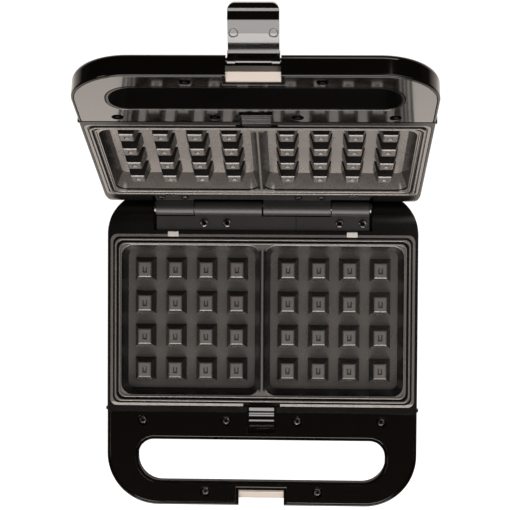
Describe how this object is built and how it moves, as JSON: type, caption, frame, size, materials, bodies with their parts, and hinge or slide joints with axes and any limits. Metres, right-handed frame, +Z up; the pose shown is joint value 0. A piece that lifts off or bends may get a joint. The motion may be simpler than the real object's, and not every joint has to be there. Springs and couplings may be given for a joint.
{
  "type": "sandwich maker",
  "caption": "Open clamshell sandwich and waffle maker with twin pegged plates, slotted handles and an over-centre latch.",
  "frame": {"origin": "Centre of the bounding box on the surface that the four feet stand on, with the lid open", "axes": "+X to the right along the hinge, +Y from the base handle to the hinge and the raised lid, +Z up"},
  "size_m": [0.2366, 0.3516, 0.2598],
  "materials": {
    "gloss_black": "gloss",
    "satin_black": "satin",
    "plate_coat": "non-stick coated, satin",
    "hinge_coat": "satin",
    "steel": "brushed",
    "bright_steel": "bright",
    "blued_steel": "blackened",
    "aluminised": "satin",
    "rod_sheath": "oxidised",
    "ceramic_white": "matt",
    "foot_rubber": "matt",
    "lamp_red": "clear gloss",
    "lamp_green": "clear gloss"
  },
  "bodies": {
    "base": {"base_waffle_plate": "plate_coat", "base_inner_frame": "gloss_black", "base_handle_cover": "gloss_black", "base_shell": "gloss_black", "base_keeper": "bright_steel", "base_plate_catches": "bright_steel", "base_hinge_leaf_long": "hinge_coat", "base_hinge_leaf_short": "hinge_coat", "base_hinge_screws": "blued_steel", "base_handle_screws": "blued_steel", "base_frame_screws": "steel", "base_heat_tray": "aluminised", "base_heating_element": "rod_sheath", "base_element_saddles": "ceramic_white", "base_release_spring": "steel", "hinge_pins": "blued_steel", "thermostat": "aluminised", "thermal_fuse": "aluminised", "terminal_block": "ceramic_white", "feet": "foot_rubber", "cord_gland": "satin_black"},
    "lid": {"lid_waffle_plate": "plate_coat", "lid_inner_frame": "gloss_black", "lid_handle_cover": "gloss_black", "lid_shell": "gloss_black", "lid_keeper": "bright_steel", "lid_plate_catches": "bright_steel", "lid_hinge_leaf_long": "hinge_coat", "lid_hinge_leaf_short": "hinge_coat", "lid_hinge_screws": "blued_steel", "lid_handle_screws": "blued_steel", "lid_frame_screws": "steel", "lid_heat_tray": "aluminised", "lid_heating_element": "rod_sheath", "lid_element_saddles": "ceramic_white", "lid_release_spring": "steel", "latch_pin": "blued_steel", "power_lamp_lens": "lamp_red", "ready_lamp_lens": "lamp_green", "lamp_holders": "satin_black"},
    "lid_latch": {"lid_latch": "gloss_black"},
    "base_release": {"base_release_button": "gloss_black"},
    "lid_release": {"lid_release_button": "gloss_black"}
  },
  "joints": [
    {"name": "lid_hinge", "type": "hinge", "parent": "base", "child": "lid", "pos_m": [0, 0.04987, 0.045], "axis": [1, 0, 0], "range_deg": [0, 110.3]},
    {"name": "latch_pivot", "type": "hinge", "parent": "lid", "child": "lid_latch", "pos_m": [0, 0.14139, 0.24657], "axis": [1, 0, 0], "range_deg": [0, 137]},
    {"name": "base_release_slide", "type": "slide", "parent": "base", "child": "base_release", "axis": [0, -1, 0], "range_m": [0, 0.0035], "stiffness_N_per_m": 600, "deforming": ["base_release_spring"]},
    {"name": "lid_release_slide", "type": "slide", "parent": "lid", "child": "lid_release", "axis": [0, 0.3469, 0.9379], "range_m": [0, 0.0035], "stiffness_N_per_m": 600, "deforming": ["lid_release_spring"]}
  ]
}
